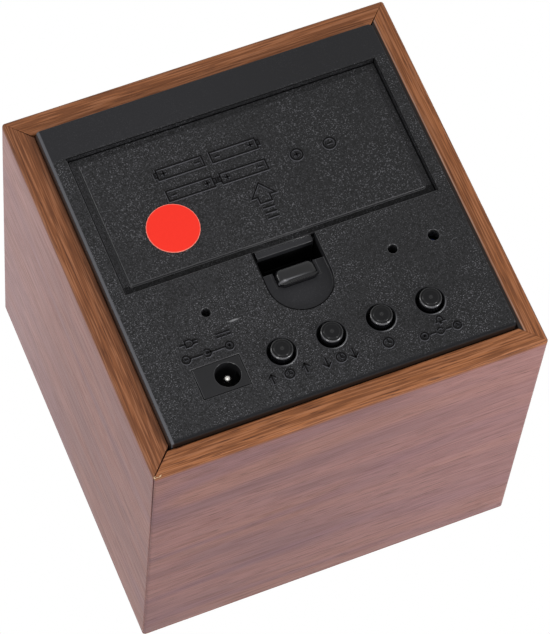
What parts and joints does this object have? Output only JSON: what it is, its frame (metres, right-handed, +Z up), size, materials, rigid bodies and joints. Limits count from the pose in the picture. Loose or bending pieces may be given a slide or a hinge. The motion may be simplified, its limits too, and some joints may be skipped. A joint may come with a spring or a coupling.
{
  "type": "wooden digital alarm clock",
  "caption": "Small cube alarm clock: mitred wood-grain case, black rear housing with hinged battery door, sprung latch, push buttons, supply socket and a display behind the front film.",
  "frame": {"origin": "centre of the base, on the surface the clock stands on", "axes": "+X right as seen from the front, -Y the front with the display, +Y the back with the buttons, +Z up"},
  "size_m": [0.063, 0.0632, 0.063],
  "materials": {
    "wood_film": "satin wood-grain foil wrapped round fibreboard",
    "front_film": "thin satin wood-grain foil that lets the digits shine through",
    "black_plastic": "moulded, fine spark texture",
    "button_plastic": "moulded, semi-gloss",
    "red_paper": "matt coated paper",
    "steel": "tin plated",
    "nickel": "bright nickel plated",
    "cell_shell": "plain cell sleeve",
    "circuit_board": "solder-masked board",
    "chip_plastic": "moulded epoxy",
    "display_plastic": "moulded",
    "light_plastic": "milky light guide",
    "nylon": "natural nylon",
    "sensor_resin": "dipped resin",
    "sleeve": "shrunk sleeve",
    "red_lead": "smooth insulation",
    "black_lead": "smooth insulation",
    "grey_ribbon": "smooth insulation"
  },
  "bodies": {
    "case": {"case_top_board": "wood_film", "case_right_board": "wood_film", "case_bottom_board": "wood_film", "case_left_board": "wood_film", "case_front_board": "wood_film", "front_film": "front_film", "rear_housing": "black_plastic", "jack_body": "black_plastic", "jack_pin": "nickel", "jack_contact": "nickel", "button_board": "circuit_board", "buzzer": "chip_plastic", "microphone": "steel", "temperature_sensor": "sensor_resin", "display_body": "display_plastic", "display_lights": "light_plastic", "main_board": "circuit_board", "controller_chip": "chip_plastic", "driver_chip": "chip_plastic", "timing_crystal": "nickel", "smoothing_capacitor": "sleeve", "battery_contact_positive": "nickel", "battery_contact_negative": "nickel", "battery_contact_bridge_upper": "nickel", "battery_contact_bridge_outer": "nickel", "battery_contact_bridge_inner": "nickel", "battery_lead_red": "red_lead", "battery_lead_black": "black_lead", "ribbon_cable": "grey_ribbon", "switch_body_1": "chip_plastic", "switch_cover_1": "steel", "board_screw_1": "steel", "board_support_1": "nylon", "battery_cell_1": "cell_shell", "battery_spring_1": "nickel", "switch_body_2": "chip_plastic", "switch_cover_2": "steel", "board_screw_2": "steel", "board_support_2": "nylon", "battery_cell_2": "cell_shell", "battery_spring_2": "nickel", "switch_body_3": "chip_plastic", "switch_cover_3": "steel", "board_screw_3": "steel", "board_support_3": "nylon", "battery_cell_3": "cell_shell", "battery_spring_3": "nickel", "switch_body_4": "chip_plastic", "switch_cover_4": "steel", "board_screw_4": "steel", "board_support_4": "nylon", "battery_cell_4": "cell_shell", "battery_spring_4": "nickel"},
    "door": {"battery_door": "black_plastic", "red_sticker": "red_paper"},
    "latch": {"door_latch": "black_plastic"},
    "button_1": {"button_plunger_1": "button_plastic"},
    "button_2": {"button_plunger_2": "button_plastic"},
    "button_3": {"button_plunger_3": "button_plastic"},
    "button_4": {"button_plunger_4": "button_plastic"}
  },
  "joints": [
    {"name": "door_hinge", "type": "hinge", "parent": "case", "child": "door", "pos_m": [-0.00055, 0.0307, 0.05305], "axis": [1, 0, 0], "range_deg": [0, 75]},
    {"name": "latch_flex", "type": "hinge", "parent": "door", "child": "latch", "pos_m": [-0.00055, 0.0256, 0.026], "axis": [1, 0, 0], "range_deg": [0, 8], "stiffness_Nm_per_rad": 0.36},
    {"name": "button_1_press", "type": "slide", "parent": "case", "child": "button_1", "axis": [0, -1, 0], "range_m": [0, 0.00025], "stiffness_N_per_m": 600, "springref_m": -0.0015},
    {"name": "button_2_press", "type": "slide", "parent": "case", "child": "button_2", "axis": [0, -1, 0], "range_m": [0, 0.00025], "stiffness_N_per_m": 600, "springref_m": -0.0015},
    {"name": "button_3_press", "type": "slide", "parent": "case", "child": "button_3", "axis": [0, -1, 0], "range_m": [0, 0.00025], "stiffness_N_per_m": 600, "springref_m": -0.0015},
    {"name": "button_4_press", "type": "slide", "parent": "case", "child": "button_4", "axis": [0, -1, 0], "range_m": [0, 0.00025], "stiffness_N_per_m": 600, "springref_m": -0.0015}
  ]
}
